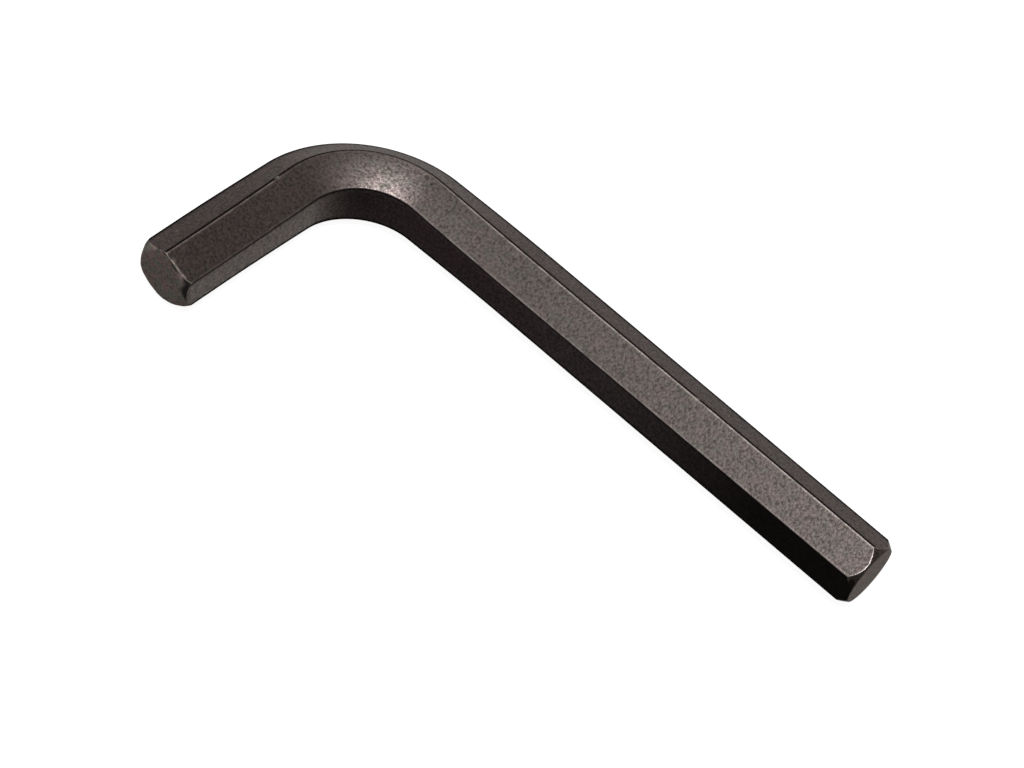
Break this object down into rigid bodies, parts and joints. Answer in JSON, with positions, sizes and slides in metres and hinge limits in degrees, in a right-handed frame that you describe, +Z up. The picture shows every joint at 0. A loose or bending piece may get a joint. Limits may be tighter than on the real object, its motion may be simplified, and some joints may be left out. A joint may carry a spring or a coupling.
{
  "type": "hex key",
  "caption": "L-shaped hex key bent from one length of blackened hexagon bar, with a chamfered long tip and a rounded short tip.",
  "frame": {"origin": "under the middle of the key's box, on the surface it lies on", "axes": "+X along the long arm towards its tip, -Y along the short arm towards its tip, +Z up, square to the plane of the bend"},
  "size_m": [0.1296, 0.0564, 0.0138],
  "materials": {
    "blackened_steel": "black oxide, satin, with bright rubbed corners"
  },
  "bodies": {
    "root": {"hex_key": "blackened_steel"}
  },
  "joints": []
}
